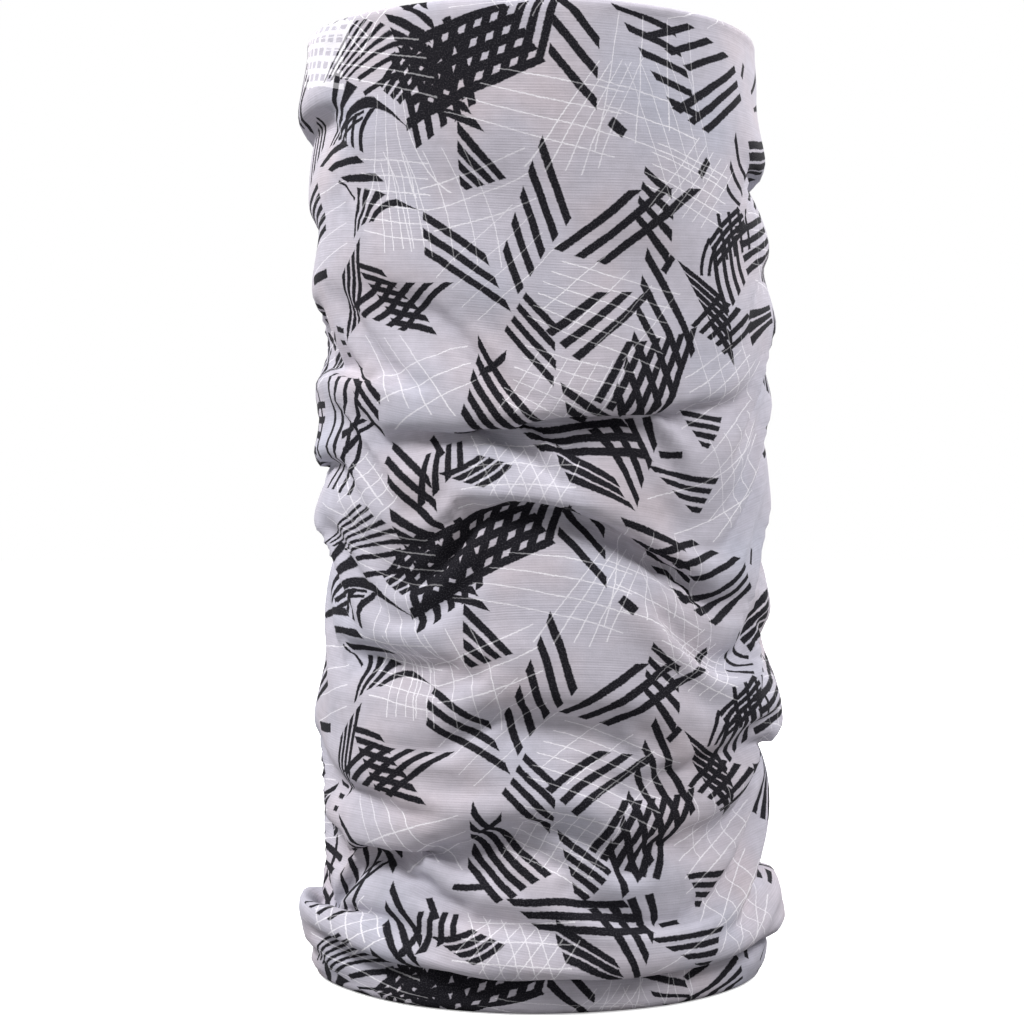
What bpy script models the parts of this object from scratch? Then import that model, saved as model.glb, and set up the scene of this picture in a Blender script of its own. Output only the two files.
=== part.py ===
"""Neck gaiter: a seamless knit tube standing in soft folds, with both raw ends turned inside and overlocked.

Metres, +Z up, the origin at the centre of the bottom rim, -Y the front and +Y the centre back.
The tube is one cloth. It is divided here along its fold lines into a bottom band and three tiers, each
hanging over the top of the one below, so the gaiter can be pulled up over the face or pushed down.
"""

import math

import bmesh
import bpy
from mathutils import Vector

# The tube as it stands
HEIGHT = 0.318
WALL = 0.0008
SEGMENTS = 40

# Radii of the cloth's middle layer
STRIP_RADIUS = 0.0718
SLEEVE_RADIUS = 0.0742
EDGE_RADIUS = 0.0766
BULGE_RADIUS = 0.0808

# Heights where each tier's rolled lower edge hangs, where its bulge ends, where its sleeve starts and ends
BAND_TOP = 0.045
BAND_LIP = 0.0072
LOWER_TIER = (0.016, 0.058, 0.084, 0.136)
MIDDLE_TIER = (0.104, 0.142, 0.161, 0.212)
TOP_TIER_EDGE = 0.180
ROLL_HEIGHT = 0.010

# Ends of the cloth, turned inside
BOTTOM_STRIP_LENGTH = 0.040
TOP_STRIP_LENGTH = 0.050
RIM_FLAT = (0.0733, 0.0755)
RIM_OUTER_ROLL = 0.0030
RIM_INNER_ROLL = 0.0015
LIP_FLARE = 0.0011

# The soft cross-section, and the slant of the folds, which hang lower on the left than on the right
WAVES = ((2, 0.0012, 0.6), (4, 0.0010, 2.0))
SLANT = 0.010
SLANT_FROM = 0.055
SLANT_TO = 0.262

# Overlock stitching of a raw end
THREAD_RADIUS = 0.0003
THREAD_GAP = 0.00045
STITCHES = 36
STITCH_DEPTH = 0.0045
PAST_EDGE = 0.0004

# Care label, hanging from the top strip at the centre back
LABEL_WIDTH = 0.020
LABEL_LENGTH = 0.030
LABEL_THICKNESS = 0.0005
LABEL_CORNER = 0.002
LABEL_GAP = 0.0010
TACK_STITCHES = 8
TACK_HEIGHT = 0.0034

CENTRE_BACK = math.radians(90)


def material(name, colour, roughness):
    made = bpy.data.materials.new(name)
    made.use_nodes = True
    made.diffuse_color = (*colour, 1)
    shader = made.node_tree.nodes["Principled BSDF"]
    shader.inputs["Base Color"].default_value = (*colour, 1)
    shader.inputs["Roughness"].default_value = roughness
    shader.inputs["Metallic"].default_value = 0
    return made


def add_object(name, data, finish, origin, parent=None):
    """An object whose origin is at a point in the world, under its parent."""
    made = bpy.data.objects.new(name, data)
    bpy.context.scene.collection.objects.link(made)
    data.materials.append(finish)
    made.location = origin
    if parent:
        made.parent = parent
        made.location = Vector(origin) - parent.location
    return made


def wave(angle):
    """How far the cross-section stands out of a circle at an angle."""
    return sum(depth * math.cos(count * angle + phase) for count, depth, phase in WAVES)


def slant(angle, height):
    """How far the folds at a height are raised on the right and lowered on the left."""
    share = min(max((height - SLANT_FROM) / (SLANT_TO - SLANT_FROM), 0), 1)
    return SLANT * math.sin(math.pi * share) ** 2 * math.cos(angle)


def on_tube(radius, angle, height):
    """A point of the standing tube from its radius, angle and height on a plain one."""
    out = radius + wave(angle)
    return Vector((out * math.cos(angle), out * math.sin(angle), height + slant(angle, height)))


def smooth(share):
    return share * share * (3 - 2 * share)


def arc(centre, radius, start, end, steps):
    """Points of an arc in the profile plane, from one angle in degrees to another."""
    turns = [math.radians(start + (end - start) * i / steps) for i in range(steps + 1)]
    return [(centre[0] + radius * math.cos(a), centre[1] + radius * math.sin(a)) for a in turns]


def rolled_edge(height):
    """The overhanging lower edge of a tier, rolling from underneath out to the bulge."""
    reach = BULGE_RADIUS - EDGE_RADIUS
    turns = [math.radians(-90 + 22.5 * i) for i in range(5)]
    return [(EDGE_RADIUS + reach * math.cos(a), height + ROLL_HEIGHT * (1 + math.sin(a))) for a in turns]


def tier_path(edge, bulge_end, sleeve_start, sleeve_end):
    """A tier's profile: the rolled edge, the bulge, and the sleeve that goes up inside the next tier."""
    path = rolled_edge(edge)
    steps = 5
    for i in range(steps + 1):
        share = i / steps
        radius = BULGE_RADIUS + (SLEEVE_RADIUS - BULGE_RADIUS) * smooth(share)
        path.append((radius, bulge_end + (sleeve_start - bulge_end) * share))
    path.append((SLEEVE_RADIUS, sleeve_end))
    return path


def wall_outline(path):
    """The closed outline of a wall of even thickness along a path, with mitred corners."""
    points = [Vector(point) for point in path]
    sides = ([], [])
    for i, point in enumerate(points):
        before = (point - points[i - 1]).normalized() if i else None
        after = (points[i + 1] - point).normalized() if i + 1 < len(points) else None
        before = before or after
        after = after or before
        first = Vector((-before.y, before.x))
        second = Vector((-after.y, after.x))
        mitre = (first + second) / (1 + first.dot(second))
        sides[0].append(point + mitre * WALL / 2)
        sides[1].append(point - mitre * WALL / 2)
    return sides[0] + sides[1][::-1]


def cloth_ring(name, path, finish, origin_height, parent=None):
    """A tube of cloth: the wall along a path spun round the axis and shaped like the standing tube."""
    mesh = bpy.data.meshes.new(name)
    shape = bmesh.new()
    loop = [shape.verts.new((point.x, 0, point.y)) for point in wall_outline(path)]
    edges = [shape.edges.new((loop[i - 1], loop[i])) for i in range(len(loop))]
    bmesh.ops.spin(
        shape,
        geom=loop + edges,
        cent=(0, 0, 0),
        axis=(0, 0, 1),
        angle=math.tau,
        steps=SEGMENTS,
        use_merge=True,
    )
    for vert in shape.verts:
        radius = math.hypot(vert.co.x, vert.co.y)
        angle = math.atan2(vert.co.y, vert.co.x)
        vert.co = on_tube(radius, angle, vert.co.z) - Vector((0, 0, origin_height))
    bmesh.ops.recalc_face_normals(shape, faces=shape.faces)
    shape.to_mesh(mesh)
    shape.free()
    mesh.shade_smooth()
    mesh.set_sharp_from_angle(angle=math.radians(40))
    return add_object(name, mesh, finish, (0, 0, origin_height), parent)


def thread(name, points, closed, finish, parent):
    """A sewing thread through points given from its parent's origin."""
    data = bpy.data.curves.new(name, "CURVE")
    data.dimensions = "3D"
    data.bevel_depth = THREAD_RADIUS
    data.bevel_resolution = 0
    data.use_fill_caps = not closed
    line = data.splines.new("POLY")
    line.points.add(len(points) - 1)
    for target, point in zip(line.points, points):
        target.co = (*(point - parent.location), 1)
    line.use_cyclic_u = closed
    return add_object(name, data, finish, parent.location, parent)


def zigzag(radius, low, high):
    """Points round the tube that step between two heights, twice a stitch."""
    count = 2 * STITCHES
    return [on_tube(radius, math.tau * i / count, (low, high)[i % 2]) for i in range(count)]


def overlock(place, edge, direction, finish, parent):
    """The three threads of an overlocked strip. The stitch reaches from its edge in a direction, up or down."""
    beside = WALL / 2 + THREAD_GAP + THREAD_RADIUS
    past = edge - direction * PAST_EDGE
    needle_line = edge + direction * STITCH_DEPTH
    seam = needle_line + direction * (2 * THREAD_RADIUS + THREAD_GAP)
    inside = zigzag(STRIP_RADIUS - beside, past, needle_line)
    between = zigzag(STRIP_RADIUS + beside, past, needle_line)
    needle = zigzag(STRIP_RADIUS - beside, seam, seam)
    thread(f"{place}_upper_looper_thread", inside, True, finish, parent)
    thread(f"{place}_lower_looper_thread", between, True, finish, parent)
    thread(f"{place}_needle_thread", needle, True, finish, parent)


def bottom_band(finish):
    """The lowest part of the tube: sleeve, flared rim, flat underside and the strip turned up inside."""
    roll = WALL / 2 + RIM_INNER_ROLL
    path = [(SLEEVE_RADIUS, BAND_TOP), (SLEEVE_RADIUS, BAND_LIP)]
    path += arc((RIM_FLAT[1] + LIP_FLARE, roll), RIM_INNER_ROLL, 0, -90, 3)
    path += arc((RIM_FLAT[0], roll), RIM_INNER_ROLL, 270, 180, 3)
    path.append((STRIP_RADIUS, BOTTOM_STRIP_LENGTH))
    return cloth_ring("bottom_band", path, finish, 0)


def top_tier(finish, parent):
    """The highest part of the tube: rolled edge, two bulges, the rim and the strip turned down inside."""
    path = rolled_edge(TOP_TIER_EDGE)
    start = path[-1][1]
    end = HEIGHT - WALL / 2 - RIM_OUTER_ROLL
    mean = (BULGE_RADIUS + RIM_FLAT[1] + RIM_OUTER_ROLL) / 2
    swing = BULGE_RADIUS - mean
    steps = 9
    for i in range(1, steps):
        share = i / steps
        path.append((mean + swing * math.cos(3 * math.pi * share), start + (end - start) * share))
    path += arc((RIM_FLAT[1], end), RIM_OUTER_ROLL, 0, 90, 3)
    path += arc((RIM_FLAT[0], HEIGHT - WALL / 2 - RIM_INNER_ROLL), RIM_INNER_ROLL, 90, 180, 3)
    path.append((STRIP_RADIUS, HEIGHT - TOP_STRIP_LENGTH))
    return cloth_ring("top_tier", path, finish, TOP_TIER_EDGE, parent)


def care_label(finish, parent):
    """A blank woven label. Its origin is on the sewn edge that it flaps about."""
    mesh = bpy.data.meshes.new("care_label")
    shape = bmesh.new()
    bmesh.ops.create_cube(shape, size=1)
    bmesh.ops.scale(shape, vec=(LABEL_WIDTH, LABEL_THICKNESS, LABEL_LENGTH), verts=shape.verts)
    bmesh.ops.translate(shape, vec=(0, 0, -LABEL_LENGTH / 2), verts=shape.verts)
    lower = [e for e in shape.edges if all(v.co.z < -LABEL_LENGTH / 2 for v in e.verts)]
    corners = [e for e in lower if e.verts[0].co.x * e.verts[1].co.x > 0]
    bmesh.ops.bevel(
        shape, geom=corners, offset=LABEL_CORNER, segments=3, profile=0.5, affect="EDGES"
    )
    shape.to_mesh(mesh)
    shape.free()
    edge = HEIGHT - TOP_STRIP_LENGTH
    place = on_tube(STRIP_RADIUS - WALL, CENTRE_BACK, edge - LABEL_GAP)
    return add_object("care_label", mesh, finish, place, parent)


def label_tack_thread(finish, parent):
    """The short row of stitches that holds the label's sewn edge to the strip."""
    radius = STRIP_RADIUS - WALL / 2 - 2 * THREAD_GAP - 3 * THREAD_RADIUS
    low = HEIGHT - TOP_STRIP_LENGTH + 2 * THREAD_RADIUS
    half = (LABEL_WIDTH / 2 - LABEL_CORNER) / radius
    count = 2 * TACK_STITCHES
    points = []
    for i in range(count + 1):
        angle = CENTRE_BACK + half * (1 - 2 * i / count)
        points.append(on_tube(radius, angle, low + TACK_HEIGHT * (i % 2)))
    return thread("label_tack_thread", points, False, finish, parent)


def main():
    for old in list(bpy.data.objects):
        bpy.data.objects.remove(old)
    band_cloth = material("band_cloth", (0.62, 0.60, 0.68), 0.85)
    lower_cloth = material("lower_cloth", (0.64, 0.62, 0.70), 0.85)
    middle_cloth = material("middle_cloth", (0.66, 0.65, 0.72), 0.85)
    top_cloth = material("top_cloth", (0.70, 0.69, 0.75), 0.85)
    dark_thread = material("dark_thread", (0.06, 0.06, 0.07), 0.6)
    satin = material("label_satin", (0.86, 0.86, 0.87), 0.5)

    band = bottom_band(band_cloth)
    cloth_ring("lower_tier", tier_path(*LOWER_TIER), lower_cloth, LOWER_TIER[0], band)
    cloth_ring("middle_tier", tier_path(*MIDDLE_TIER), middle_cloth, MIDDLE_TIER[0], band)
    top = top_tier(top_cloth, band)
    overlock("bottom", BOTTOM_STRIP_LENGTH, -1, dark_thread, band)
    overlock("top", HEIGHT - TOP_STRIP_LENGTH, 1, dark_thread, top)
    care_label(satin, top)
    label_tack_thread(dark_thread, top)


main()
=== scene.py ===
"""Looks of the neck gaiter: a printed jersey tube in soft folds, its overlocked ends and its label."""

import math

import bpy
import numpy as np
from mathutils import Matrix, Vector


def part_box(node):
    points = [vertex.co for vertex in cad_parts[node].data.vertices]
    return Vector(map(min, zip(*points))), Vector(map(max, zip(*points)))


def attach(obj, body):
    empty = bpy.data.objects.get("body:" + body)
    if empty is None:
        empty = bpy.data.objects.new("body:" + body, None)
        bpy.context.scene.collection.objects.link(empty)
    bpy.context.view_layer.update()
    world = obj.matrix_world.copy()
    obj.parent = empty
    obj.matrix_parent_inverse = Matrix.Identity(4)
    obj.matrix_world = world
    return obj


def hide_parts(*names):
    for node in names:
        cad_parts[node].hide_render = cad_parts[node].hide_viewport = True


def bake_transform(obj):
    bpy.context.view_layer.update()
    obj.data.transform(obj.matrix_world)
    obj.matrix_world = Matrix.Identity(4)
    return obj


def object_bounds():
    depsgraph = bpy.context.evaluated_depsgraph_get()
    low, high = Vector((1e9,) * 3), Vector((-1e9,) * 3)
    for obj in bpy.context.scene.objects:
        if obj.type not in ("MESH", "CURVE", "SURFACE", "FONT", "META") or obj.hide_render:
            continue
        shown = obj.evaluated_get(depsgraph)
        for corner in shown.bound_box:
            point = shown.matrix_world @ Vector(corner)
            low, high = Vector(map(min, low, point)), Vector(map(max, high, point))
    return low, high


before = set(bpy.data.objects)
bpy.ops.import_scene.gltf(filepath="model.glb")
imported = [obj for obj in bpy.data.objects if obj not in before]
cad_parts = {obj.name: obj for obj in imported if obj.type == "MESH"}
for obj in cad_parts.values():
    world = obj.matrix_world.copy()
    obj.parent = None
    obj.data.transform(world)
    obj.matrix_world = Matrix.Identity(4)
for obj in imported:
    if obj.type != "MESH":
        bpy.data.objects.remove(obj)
CAD_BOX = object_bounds()

MM = 0.001

# ------------------------------------------------------------------
# The cloth's sizes, in mm. Angles are in degrees from the front (-Y) towards the right (+X).
# ------------------------------------------------------------------
HEIGHT = CAD_BOX[1].z / MM
AROUND = 490  # the cloth's length round the tube
RADIUS = AROUND / math.tau
CLOTH = 0.6  # thickness of the cloth
COURSE = 0.8  # from one course of the knit to the next
THREAD = 0.17  # radius of the sewing threads
LABEL = 0.3  # thickness of the label
STITCHES = 170  # overlock stitches round each end
SEAM = 4.5  # depth of the needle thread from the raw edge
PAST_NEEDLE = 4.6  # how far the raw edge lies past the CAD's needle thread

# Height of the bottom strip's raw edge, and how far the top strip's raw edge is below the top rim
BOTTOM_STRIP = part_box("bottom_needle_thread")[1].z / MM + PAST_NEEDLE
TOP_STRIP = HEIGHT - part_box("top_needle_thread")[0].z / MM + PAST_NEEDLE

# Radius of the cloth's turn over a rim; a strip hangs at least this far inside the cloth round it
RIM_ROLL = 1.7

# Cloth between the two rims: the length that carries the print, and the length that is pressed into
# folds. GATHERED is the share by which it is denser at the bottom rim, and sparser at the top one.
OUTSIDE = 362
UNFOLDED = 360
GATHERED = 0.125

# The cloth's grid: columns round it, rows of the two strips (bottom, top), of a rim and of the outside,
# and the rows at which the folds are first drawn
COLUMNS = 208
STRIP_ROWS = (18, 22)
RIM_ROWS = 4
OUTSIDE_ROWS = 177
FOLD_SAMPLES = 900

# Simulation of the cloth
PRESS_FRAMES = 14  # frames in which the unfolded tube is pressed into the folds
LET_GO_FRAMES = 6  # frames in which it is let go
SETTLE_FRAMES = 44  # the last frame
PRESS = 10.0  # pull towards the folds while it is pressed
HOLD = 0.13  # the pull that is left afterwards
BEND = 6.0  # stiffness in bending
SOLVER_SCALE = 0.01  # size of 1 mm in the solver

# Print repeat, in mm of flat cloth
REPEAT_AROUND = AROUND / 2
REPEAT_ALONG = 168

# How far the print is turned round the tube at the bottom, in mm
TWIST = 3

# Where the print is also moved round: (angle, height, half length in degrees, half width, mm)
PULLS = (
    (-88, 150, 42, 28, 20),
    (-86, 10, 42, 24, 16),
)

# How far the tube's axis leans to the right, and how much wider than RADIUS the tube is: (height, mm)
LEAN = ((0, 1), (12, 2), (40, 3.8), (100, 4), (160, 3), (223, 3.4), (258, 1.2), (285, -1.8), (318, -1.6))
GIRTH = (
    (0, -1.5), (10, 1.8), (22, 3), (42, -2.4), (65, -1), (92, 0.6),
    (115, -1.4), (144, -2.4), (170, -1.4), (223, -0.3), (258, -0.4), (290, 0.8), (318, -0.4),
)

# Folds: (angle, height, rise per 90 degrees, half length in degrees, half width, depth, drop).
# A fold with a positive depth hangs over what is below it; a negative depth opens upwards.
FOLDS = (
    # top left overhang and the ripples under it
    (-76, 291, 12, 44, 6.5, 6.2, 8.5),
    (-62, 268, 24, 36, 7, 4.0, 4.6),
    (-82, 256, -8, 34, 6, 4.6, 4.6),
    (-86, 230, 8, 34, 6, 4.6, 4.6),
    # knob at the top right, and the ripples round it
    (84, 272, -10, 36, 5.5, 7.6, 9.5),
    (80, 247, 10, 36, 6.5, 4.4, 5.5),
    (86, 222, -6, 34, 6, 4.4, 4.6),
    (86, 193, 6, 32, 6, 3.8, 4.0),
    (70, 296, 6, 34, 7, 2.2, 2),
    # shallow creases across the upper front
    (-12, 262, -14, 40, 9, 3.6, 4.0),
    (30, 236, -26, 42, 9, 3.8, 4.2),
    (-28, 224, -24, 42, 8, 3.6, 4.0),
    (40, 206, 20, 42, 8, 3.4, 4.0),
    # pinch that opens upwards on the left, and the ripples below it
    (-70, 204, -15, 50, 6, -5.6, 6.2),
    (-34, 196, -12, 30, 7, 2.2, 2.6),
    (-86, 176, 2, 40, 5, 5.6, 5.4),
    (-86, 153, 4, 38, 5, 5.4, 5.0),
    # main overhang across the front
    (10, 186, 10, 82, 6, 6.2, 9.5),
    # second overhang at the centre, falling to the right, and a ripple at the right edge
    (2, 160, -12, 36, 6, 4.6, 6.5),
    (27, 143, -58, 30, 5.5, 5.4, 6.5),
    (84, 157, 6, 34, 6, 4.0, 4.0),
    # creases below it, and the ripples at both edges
    (-44, 112, -8, 60, 7, 3.6, 4.2),
    (4, 96, -4, 40, 7.5, 3.0, 4),
    (-90, 85, 0, 34, 5, 3.8, 3.0),
    (58, 102, 10, 50, 6, -3.4, 3.6),
    (84, 84, -8, 42, 5, 5.0, 6),
    (88, 121, 0, 34, 6, 2.6, 2.4),
    (64, 126, -16, 30, 5.5, 2.8, 3.2),
    (-60, 70, -12, 38, 5.5, 3.2, 3.6),
    (38, 78, 24, 30, 5, 3.0, 3.4),
    # lower creases
    (-52, 50, 4, 56, 6.5, 4.6, 5),
    (-8, 62, 16, 36, 6.5, 3.0, 3.6),
    (44, 58, 18, 44, 7, 2.8, 3.2),
    (82, 35, -4, 32, 5, -4.2, 4.6),
    (-30, 33, 10, 34, 5, 2.6, 3.0),
    (20, 34, 4, 50, 6, 2.2, 2.6),
    # bottom overhang across the front, and the roll that stands up in front of it on the left
    (24, 15.5, 2, 108, 5.5, 5.2, 8.5),
    (-80, 22, 4, 34, 5, -7.5, 8.5),
    # the back
    (176, 286, 8, 60, 7, 3.0, 4.0),
    (150, 236, -16, 54, 8, 3.2, 3.6),
    (-150, 214, 12, 50, 7, 3.6, 4.2),
    (170, 180, 10, 76, 6.5, 4.4, 6.0),
    (-160, 140, -14, 48, 7, 3.6, 4.0),
    (150, 124, 8, 44, 6, 3.4, 3.6),
    (-175, 92, 12, 64, 7, 3.6, 4.2),
    (160, 56, -8, 52, 7, 3.6, 4.2),
    (-140, 44, 6, 40, 6, 3.2, 3.4),
    (180, 15.5, 2, 90, 5.5, 4.6, 7.5),
)

# Dents and swellings: (angle, height, half length in degrees, half width, depth outwards)
DENTS = (
    (27, 146, 18, 9, -2.6),
    (-26, 127, 16, 11, -1.2),
    (12, 82, 20, 9, -1.2),
    (58, 30, 14, 7, -2.6),
    (88, 222, 40, 20, 2.2),
    (84, 94, 26, 7, 2.4),
    (88, 26, 22, 6, 2.2),
    (-90, 196, 34, 7, 1.6),
    (-88, 292, 40, 9, 1.6),
)


def smooth(share):
    share = np.clip(share, 0, 1)
    return share * share * (3 - 2 * share)


def eased(heights, points):
    """A value that eases from each (height, value) point to the next."""
    keys = np.array(points, float)
    place = np.clip(np.searchsorted(keys[:, 0], heights, side="right") - 1, 0, len(keys) - 2)
    low, high = keys[place], keys[place + 1]
    share = smooth((heights - low[..., 0]) / (high[..., 0] - low[..., 0]))
    return low[..., 1] + (high[..., 1] - low[..., 1]) * share


def turned(angles):
    """Angles in degrees brought into -180 to 180."""
    return (angles + 180) % 360 - 180


def gathered(share):
    """The share of the cloth used up to a share of the way up."""
    return share + GATHERED * share * (1 - share)


def ripples(angles, heights):
    """Small random unevenness of the cloth in mm: a sum of waves, each with a whole number of turns
    around and a half length in mm along, that lean to and fro up the tube."""
    draws = np.random.default_rng(11)
    waves, usual_depth, usual_length, sway, sway_length = 46, 0.32, 40, 0.6, 37
    total = np.zeros(np.broadcast(angles, heights).shape)
    for _ in range(waves):
        around = draws.integers(1, 11)
        along = draws.uniform(14, 62)
        phase = draws.uniform(0, math.tau, 2)
        depth = usual_depth * (along / usual_length) ** 0.8
        swayed = sway * np.sin(heights / sway_length + phase[1])
        wave = np.sin(np.radians(angles) * around + phase[0] + swayed)
        total += depth * wave * np.sin(heights / along * math.tau / 2 + phase[1])
    return total


def outside_curve(angles, shares):
    """Radius and height in mm of the standing cloth, for columns at angles and shares of the height."""
    angle, base = np.meshgrid(angles, shares * HEIGHT)
    rim_zone = 9
    end_fade = smooth(base / rim_zone) * smooth((HEIGHT - base) / rim_zone)
    radius = RADIUS + eased(base, GIRTH) + ripples(angle, base) * (0.35 + 0.65 * end_fade)
    height = base.copy()
    peak = 0.607  # of x * exp(-x * x / 2)
    for centre, level, rise, reach, width, depth, drop in FOLDS:
        away = turned(angle - centre)
        strength = np.cos(np.clip(away / reach, -1, 1) * math.pi / 2) ** 1.5
        across = (base - level - rise * away / 90) / width
        pull = strength * across * np.exp(-across * across / 2) / peak
        radius += depth * pull * (0.3 + 0.7 * end_fade)
        height -= drop * pull * end_fade
    for centre, level, reach, width, depth in DENTS:
        away = turned(angle - centre) / reach
        across = (base - level) / width
        radius += depth * np.exp(-away * away - across * across) * end_fade
    return radius, height


def resample(radius, height, rows):
    """The same columns with rows evenly spaced along the cloth."""
    step = np.hypot(np.diff(radius, axis=0), np.diff(height, axis=0))
    walked = np.vstack([np.zeros(radius.shape[1]), np.cumsum(step, axis=0)])
    even = np.linspace(0, 1, rows)
    out = np.empty((2, rows, radius.shape[1]))
    for column in range(radius.shape[1]):
        share = walked[:, column] / walked[-1, column]
        out[0, :, column] = np.interp(even, share, radius[:, column])
        out[1, :, column] = np.interp(even, share, height[:, column])
    return out


def on_axis(points):
    """Radius in mm of each point around the leaning axis."""
    return np.hypot(points[..., 0] - eased(points[..., 2], LEAN), points[..., 1])


def turned_end(outside, rows, level, angles):
    """The rim roll and the strip turned inside it, as points in mm and the cloth's length past the rim.
    outside runs from this rim into the tube; level is the height of the strip's raw edge."""
    rim = outside[0, 0, 2]
    inside = 1 if level > rim else -1
    wall = on_axis(outside)
    turn = np.radians(angles)
    waver = 0.35 * np.sin(turn * 7 + 1) + 0.3 * np.sin(turn * 4)
    leans_in = 0.4
    radii, heights, past = [], [], []
    for i in range(1, RIM_ROWS + 1):
        bend = math.pi * i / (RIM_ROWS + 1)
        radii.append(wall[0] - RIM_ROLL * (1 - math.cos(bend)))
        heights.append(rim - inside * RIM_ROLL * math.sin(bend) + 0 * turn)
        past.append(RIM_ROLL * bend)
    clear = []
    beside, nowhere = 5, 1e3
    for height in np.linspace(rim, level, rows):
        near = np.abs(outside[..., 2] - height) < beside
        clear.append(np.where(near, wall, nowhere).min(axis=0))
    clear = softened(np.array(clear))
    for i in range(rows):
        share = i / (rows - 1)
        hung = np.minimum(wall[0] - 2 * RIM_ROLL, clear[i] - RIM_ROLL)
        radii.append(hung + waver * share - leans_in * share)
        heights.append(rim + (level - rim) * share + 0 * turn)
        past.append(RIM_ROLL * math.pi + abs(level - rim) * share)
    radii, heights = np.array(radii), np.array(heights)
    x = radii * np.sin(turn) + eased(heights, LEAN)
    return np.stack([x, -radii * np.cos(turn), heights], axis=-1), np.array(past)


def softened(values):
    """Evens out a sheet of values along its rows and columns, never above the given values."""
    out = values
    for _ in range(6):
        ends = np.concatenate([out[:1], out, out[-1:]])
        along = (ends[:-2] + 2 * out + ends[2:]) / 4
        around = (np.roll(along, 1, axis=1) + 2 * along + np.roll(along, -1, axis=1)) / 4
        out = np.minimum(around, values)
    return out


def outside_points(angles):
    """Points in mm of the standing cloth from the bottom rim to the top rim."""
    radius, height = outside_curve(angles, np.linspace(0, 1, FOLD_SAMPLES))
    radius, height = resample(radius, height, OUTSIDE_ROWS)
    height = np.clip(height, RIM_ROLL + CLOTH / 2, HEIGHT - RIM_ROLL - CLOTH / 2)
    turn = np.radians(angles)
    x = radius * np.sin(turn) + eased(height, LEAN)
    points = np.stack([x, -radius * np.cos(turn), height], axis=-1)
    points = doubled(settle(points[::2, ::2]))
    return points


def cloth_grid():
    """Every point of the cloth in mm, with its place on the flat cloth: x, y, z, around, along.
    Rows run from the bottom strip's raw edge, over both rims, to the top strip's raw edge."""
    angles = np.linspace(-180, 180, COLUMNS, endpoint=False)
    outside = outside_points(angles)
    bottom, below = turned_end(outside, STRIP_ROWS[0], BOTTOM_STRIP, angles)
    top, beyond = turned_end(outside[::-1], STRIP_ROWS[1], HEIGHT - TOP_STRIP, angles)
    points = np.concatenate([bottom[::-1], outside, top])
    standing = OUTSIDE * gathered(np.linspace(0, 1, OUTSIDE_ROWS))
    along = np.concatenate([-below[::-1], standing, OUTSIDE + beyond])
    along = np.broadcast_to(along[:, None], points.shape[:2])
    around = angles / 360 * AROUND + TWIST * (1 - along / OUTSIDE)
    for centre, level, reach, width, pulled in PULLS:
        away = turned(angles - centre) / reach
        across = (along / OUTSIDE * HEIGHT - level) / width
        around = around + pulled * np.exp(-away * away - across * across)
    return np.concatenate([points, around[..., None], along[..., None]], axis=-1)


def flat_tube(rows, columns):
    """The same rows and columns on the plain unfolded tube, in mm."""
    turn = np.linspace(-math.pi, math.pi, columns, endpoint=False)
    level = UNFOLDED * gathered(np.linspace(0, 1, rows))[:, None] + 0 * turn
    x = RADIUS * np.sin(turn) + 0 * level
    return np.stack([x, -RADIUS * np.cos(turn) + 0 * level, level], axis=-1)


def settle(points):
    """The unfolded tube pressed into the given folds as cloth, then let go between its two rims."""
    rows, columns = points.shape[:2]
    faces = [[up * columns + over for up, over in face] for face in tube_faces(rows, columns)]
    unfolded = flat_tube(rows, columns) * SOLVER_SCALE
    cloth = new_piece("settling_cloth", unfolded.reshape(-1, 3), faces)
    cloth.shape_key_add(name="unfolded")
    folded = cloth.shape_key_add(name="folded")
    folded.data.foreach_set("co", (points * SOLVER_SCALE).astype(np.float32).ravel())
    for frame_number, share in ((1, 0), (PRESS_FRAMES, 1)):
        folded.value = share
        folded.keyframe_insert("value", frame=frame_number)
    held = cloth.vertex_groups.new(name="held")
    rim_rows, rest_weight = 2, 0.9
    for row in range(rows):
        from_rim = min(row, rows - 1 - row)
        weight = 1.0 if from_rim < rim_rows else rest_weight
        held.add(list(range(row * columns, (row + 1) * columns)), weight, "REPLACE")
    modifier = cloth.modifiers.new("cloth", "CLOTH")
    settings = modifier.settings
    settings.vertex_group_mass = "held"
    settings.quality = 8
    settings.mass = 0.3
    settings.tension_stiffness = 20
    settings.compression_stiffness = 20
    settings.shear_stiffness = 6
    settings.bending_stiffness = BEND
    settings.tension_damping = 8
    settings.compression_damping = 8
    settings.air_damping = 4
    settings.effector_weights.gravity = 0
    for frame_number, pull in ((PRESS_FRAMES, PRESS), (PRESS_FRAMES + LET_GO_FRAMES, HOLD)):
        settings.pin_stiffness = pull
        cloth.keyframe_insert('modifiers["cloth"].settings.pin_stiffness', frame=frame_number)
    modifier.collision_settings.use_collision = False
    modifier.collision_settings.use_self_collision = False
    modifier.point_cache.frame_start = 1
    modifier.point_cache.frame_end = SETTLE_FRAMES
    for frame_number in range(1, SETTLE_FRAMES + 1):
        bpy.context.scene.frame_set(frame_number)
    found = cloth.evaluated_get(bpy.context.evaluated_depsgraph_get()).to_mesh()
    out = np.empty(rows * columns * 3, np.float32)
    found.vertices.foreach_get("co", out)
    mesh = cloth.data
    bpy.data.objects.remove(cloth)
    bpy.data.meshes.remove(mesh)
    bpy.context.scene.frame_set(1)
    return out.reshape(rows, columns, 3) / SOLVER_SCALE


def between(before, here, after, last):
    """Points halfway from here to after, on a smooth curve through all four."""
    return (9 * (here + after) - before - last) / 16


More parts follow.
